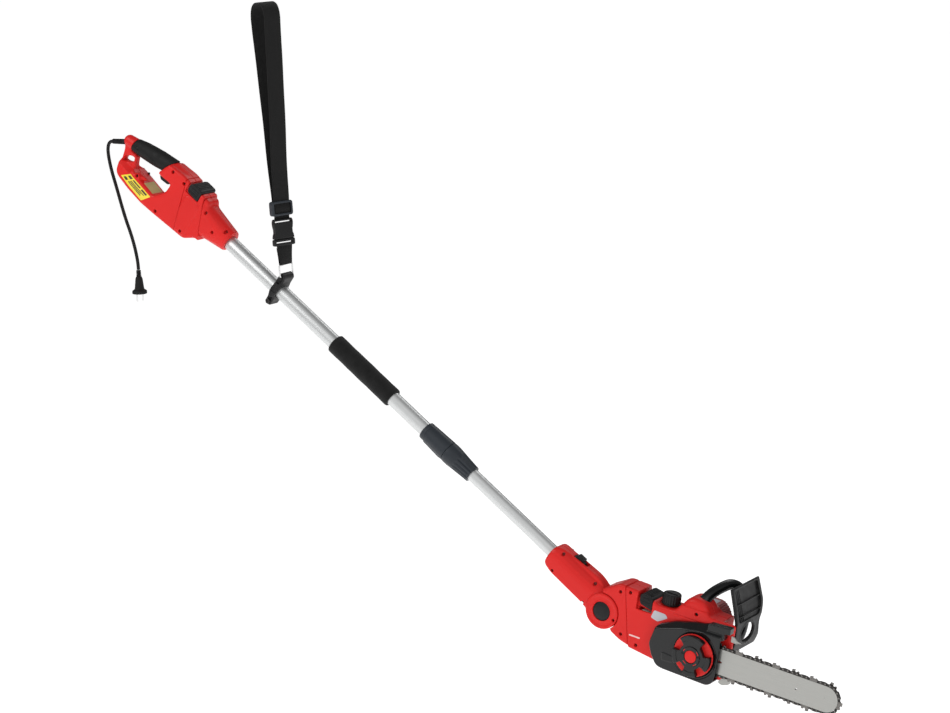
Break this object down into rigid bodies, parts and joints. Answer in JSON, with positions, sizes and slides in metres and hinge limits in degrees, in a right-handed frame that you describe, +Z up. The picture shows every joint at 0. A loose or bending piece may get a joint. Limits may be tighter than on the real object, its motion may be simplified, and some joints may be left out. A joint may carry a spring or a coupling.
{
  "type": "telescoping pole saw",
  "caption": "Corded electric chainsaw head on a tilting knuckle, on a two-tube telescoping pole with a trigger handle, foam grip, twist lock and shoulder strap.",
  "frame": {"origin": "top of the shoulder strap's loop, where the saw hangs", "axes": "+Z up; +X horizontal, from the rear handle towards the saw head; -Y on the guide bar's side, which is the operator's right"},
  "size_m": [1.6381, 0.1648, 1.342],
  "materials": {
    "red_shell": "satin",
    "dark_red_shell": "matt",
    "black_plastic": "matt",
    "grey_black_plastic": "satin",
    "nylon": "matt",
    "rubber": "matt",
    "foam": "matt",
    "webbing": "woven",
    "pole_tube": "satin",
    "steel": "satin",
    "dark_steel": "satin",
    "motor_core": "plain",
    "pin_steel": "bright"
  },
  "bodies": {
    "rear_pole": {"rear_shell_right": "red_shell", "rear_shell_left": "red_shell", "handle_grip": "rubber", "trigger_switch": "nylon", "cord_relief": "rubber", "power_cord": "rubber", "plug_body": "black_plastic", "plug_pin_1": "pin_steel", "plug_pin_2": "pin_steel", "pole_socket_right": "red_shell", "pole_socket_left": "red_shell", "outer_tube": "pole_tube", "foam_grip": "foam", "strap_clamp_upper": "black_plastic", "strap_clamp_lower": "black_plastic", "clamp_screw": "steel", "lock_collar": "grey_black_plastic", "lock_collet": "nylon"},
    "trigger": {"trigger": "black_plastic"},
    "lock_off_button": {"lock_off_button": "black_plastic"},
    "rear_latch": {"rear_latch": "black_plastic"},
    "strap_lower": {"strap_ring": "steel", "lower_webbing": "webbing", "buckle_male": "black_plastic"},
    "strap_upper": {"buckle_female": "black_plastic", "tri_glide": "black_plastic", "shoulder_strap": "webbing"},
    "twist_lock": {"twist_collar": "grey_black_plastic"},
    "front_pole": {"inner_tube": "pole_tube", "pole_adapter_right": "red_shell", "pole_adapter_left": "red_shell", "tilt_bolt": "steel", "tilt_cap_right": "black_plastic", "tilt_cap_left": "black_plastic"},
    "tilt_slider": {"tilt_slider": "black_plastic"},
    "saw_head": {"head_adapter_right": "red_shell", "head_adapter_left": "red_shell", "saw_housing_right": "red_shell", "saw_housing_left": "red_shell", "oil_tank": "nylon", "motor_housing": "dark_red_shell", "motor_stator": "motor_core", "oil_pump": "nylon", "guide_bar": "steel", "saw_chain": "dark_steel", "bar_stud": "steel", "side_cover": "black_plastic", "spike_bumper": "steel", "chain_catcher": "steel", "front_handle": "black_plastic", "guard_pin": "steel"},
    "head_latch": {"head_latch": "black_plastic"},
    "oil_cap": {"oil_cap": "black_plastic"},
    "tension_ring": {"tension_ring": "red_shell"},
    "cover_knob": {"cover_knob": "black_plastic"},
    "hand_guard": {"hand_guard": "black_plastic"},
    "armature": {"motor_armature": "dark_steel"},
    "drive_gear": {"drive_gear": "dark_steel"},
    "nose_sprocket": {"nose_sprocket": "steel"}
  },
  "joints": [
    {"name": "trigger_pull", "type": "hinge", "parent": "rear_pole", "child": "trigger", "pos_m": [-0.26032, 0, -0.34803], "axis": [0, 1, 0], "range_deg": [0, 8], "stiffness_Nm_per_rad": 1.2, "springref_deg": -11.46},
    {"name": "lock_off_press", "type": "slide", "parent": "rear_pole", "child": "lock_off_button", "axis": [0, -1, 0], "range_m": [0, 0.003], "stiffness_N_per_m": 600, "springref_m": -0.002},
    {"name": "rear_latch_slide", "type": "slide", "parent": "rear_pole", "child": "rear_latch", "axis": [-0.7683, 0, 0.6401], "range_m": [0, 0.003], "stiffness_N_per_m": 400, "springref_m": -0.003},
    {"name": "strap_swing", "type": "hinge", "parent": "rear_pole", "child": "strap_lower", "pos_m": [0, 0, -0.548], "axis": [0, 1, 0], "range_deg": [-30, 90]},
    {"name": "buckle_release", "type": "slide", "parent": "strap_lower", "child": "strap_upper", "axis": [0, 0, 1], "range_m": [0, 0.03]},
    {"name": "pole_lock_twist", "type": "hinge", "parent": "rear_pole", "child": "twist_lock", "pos_m": [0.35866, 0, -0.89238], "axis": [0.7683, 0, -0.6401], "range_deg": [0, 120]},
    {"name": "pole_extend", "type": "slide", "parent": "rear_pole", "child": "front_pole", "axis": [0.7683, 0, -0.6401], "range_m": [-0.2, 0.48]},
    {"name": "tilt_slider_pull", "type": "slide", "parent": "front_pole", "child": "tilt_slider", "axis": [0.7683, 0, -0.6401], "range_m": [0, 0.006], "stiffness_N_per_m": 300, "springref_m": -0.003},
    {"name": "head_tilt", "type": "hinge", "parent": "front_pole", "child": "saw_head", "pos_m": [0.69953, 0, -1.18159], "axis": [0, 1, 0], "range_deg": [0, 60]},
    {"name": "head_latch_slide", "type": "slide", "parent": "saw_head", "child": "head_latch", "axis": [-0.9217, 0, 0.3878], "range_m": [0, 0.003], "stiffness_N_per_m": 400, "springref_m": -0.003},
    {"name": "oil_cap_turn", "type": "hinge", "parent": "saw_head", "child": "oil_cap", "pos_m": [0.83792, -0.002, -1.15894], "axis": [0.2385, 0, 0.9711], "continuous": true},
    {"name": "tension_ring_turn", "type": "hinge", "parent": "saw_head", "child": "tension_ring", "pos_m": [0.90667, -0.052, -1.24379], "axis": [0, -1, 0], "continuous": true},
    {"name": "cover_knob_turn", "type": "hinge", "parent": "saw_head", "child": "cover_knob", "pos_m": [0.90667, -0.06, -1.24379], "axis": [0, -1, 0], "continuous": true},
    {"name": "chain_brake", "type": "hinge", "parent": "saw_head", "child": "hand_guard", "pos_m": [0.95492, 0, -1.2402], "axis": [0, 1, 0], "range_deg": [0, 22]},
    {"name": "armature_spin", "type": "hinge", "parent": "saw_head", "child": "armature", "pos_m": [0.88878, 0.02, -1.19924], "axis": [0, 1, 0], "continuous": true},
    {"name": "drive_gear_spin", "type": "hinge", "parent": "saw_head", "child": "drive_gear", "pos_m": [0.86782, -0.02, -1.23425], "axis": [0, 1, 0], "continuous": true},
    {"name": "nose_sprocket_spin", "type": "hinge", "parent": "saw_head", "child": "nose_sprocket", "pos_m": [1.16693, -0.04, -1.30772], "axis": [0, 1, 0], "continuous": true}
  ],
  "couplings": [
    {"joint": "drive_gear_spin", "follows": "armature_spin", "ratio": -0.25},
    {"joint": "nose_sprocket_spin", "follows": "armature_spin", "ratio": -0.16667}
  ]
}
